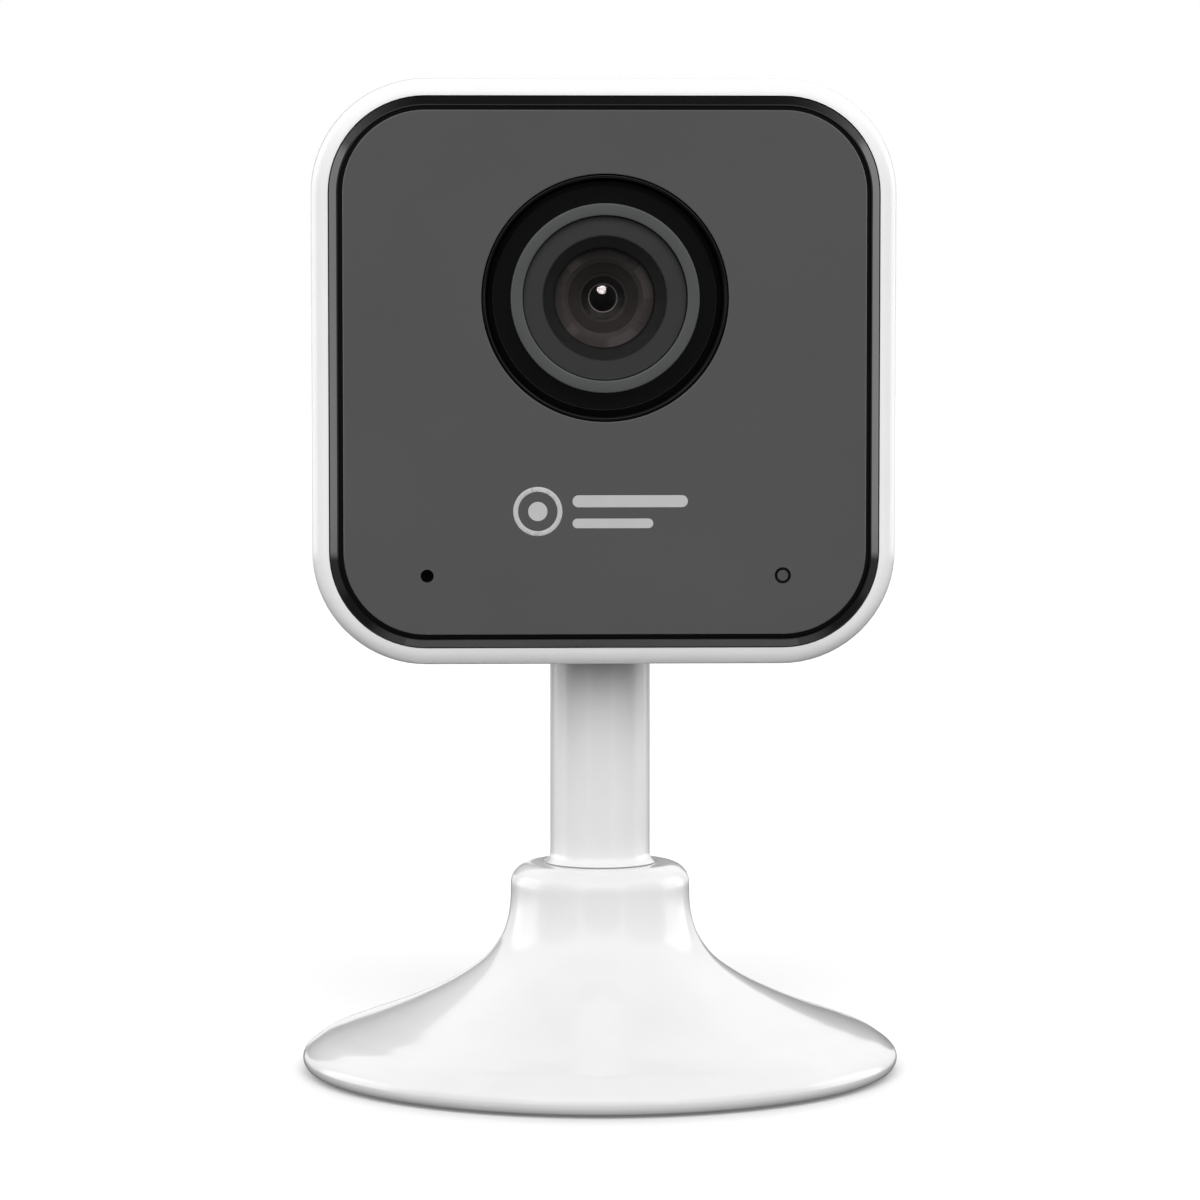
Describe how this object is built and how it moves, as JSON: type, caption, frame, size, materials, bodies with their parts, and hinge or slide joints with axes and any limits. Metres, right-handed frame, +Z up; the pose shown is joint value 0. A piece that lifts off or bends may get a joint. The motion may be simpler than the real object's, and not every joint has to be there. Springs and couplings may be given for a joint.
{
  "type": "security camera",
  "caption": "Small square indoor security camera with a round recessed lens, on a tilting stalk and a round swivelling base.",
  "frame": {"origin": "centre of the base's underside, on the stalk's axis, at the surface the camera stands on", "axes": "+Z up along the stalk, the lens looks towards -Y, +X to the right as seen from in front"},
  "size_m": [0.064, 0.064, 0.1058],
  "materials": {
    "copper_film": "flexible film",
    "black_satin": "satin black",
    "magnet": "nickel plated",
    "white_matte": "fine matt texture",
    "steel": "bright zinc plated",
    "white_shell": "glossy moulded white",
    "chip_black": "matt",
    "black_steel": "black oxide",
    "face_acrylic": "dark grey smooth",
    "rubber_grey": "soft matt",
    "black_gloss": "glossy black",
    "aluminium": "plain",
    "rubber_black": "soft matt",
    "lamp_resin": "smoked resin",
    "filter_glass": "blue-green filter",
    "board_green": "solder mask",
    "bezel_grey": "dark grey satin",
    "clear_glass": "clear coated",
    "coated_glass": "amber coating",
    "pipe_grey": "smoked clear",
    "label_film": "blank label",
    "paper_cone": "treated cone",
    "white_stalk": "glossy moulded white",
    "light_resin": "pale resin",
    "pad_grey": "soft"
  },
  "bodies": {
    "base": {"base_shell": "white_shell", "base_plate": "white_matte", "base_screws": "steel", "foot_pad": "rubber_grey", "rating_label": "label_film", "base_weight": "steel", "base_magnet": "magnet"},
    "stand": {"stalk": "white_stalk", "swivel_ring": "steel", "swivel_washer": "steel"},
    "button": {"reset_button": "white_matte"},
    "head": {"antenna": "copper_film", "aperture_stop": "black_satin", "board_header": "chip_black", "board_screws": "black_steel", "button_switch": "chip_black", "card_socket": "steel", "face_panel": "face_acrylic", "front_frame": "black_gloss", "heat_plate": "aluminium", "hinge_nut": "steel", "hinge_pin": "steel", "hinge_plates": "steel", "hinge_spring": "steel", "hinge_washers": "rubber_black", "housing_screws": "black_steel", "image_sensor": "chip_black", "infrared_lamps": "lamp_resin", "ir_cut_filter": "filter_glass", "lamp_board": "board_green", "lens_barrel": "black_satin", "lens_bezel": "bezel_grey", "lens_cover": "clear_glass", "lens_front": "coated_glass", "lens_holder": "black_satin", "lens_holder_screws": "black_steel", "lens_hood": "black_satin", "lens_rear": "coated_glass", "lens_retainer": "black_satin", "lens_spacer": "black_satin", "lens_surround": "black_satin", "light_board": "board_green", "light_pipe": "pipe_grey", "main_board": "board_green", "memory_chips": "chip_black", "mic_board": "board_green", "mic_boot": "rubber_black", "microphone": "aluminium", "power_board": "board_green", "processor": "chip_black", "radio_module": "steel", "rear_housing": "white_shell", "speaker_cone": "paper_cone", "speaker_frame": "chip_black", "speaker_magnet": "magnet", "status_light": "light_resin", "thermal_pad": "pad_grey", "usb_socket": "steel"}
  },
  "joints": [
    {"name": "base_swivel", "type": "hinge", "parent": "base", "child": "stand", "pos_m": [0, 0, 0.02], "axis": [0, 0, 1], "continuous": true},
    {"name": "head_tilt", "type": "hinge", "parent": "stand", "child": "head", "pos_m": [0, 0, 0.056], "axis": [1, 0, 0], "range_deg": [-90, 15]},
    {"name": "reset_press", "type": "slide", "parent": "head", "child": "button", "axis": [0, -1, 0], "range_m": [0, 0.00035], "stiffness_N_per_m": 1500, "springref_m": -0.0004}
  ]
}
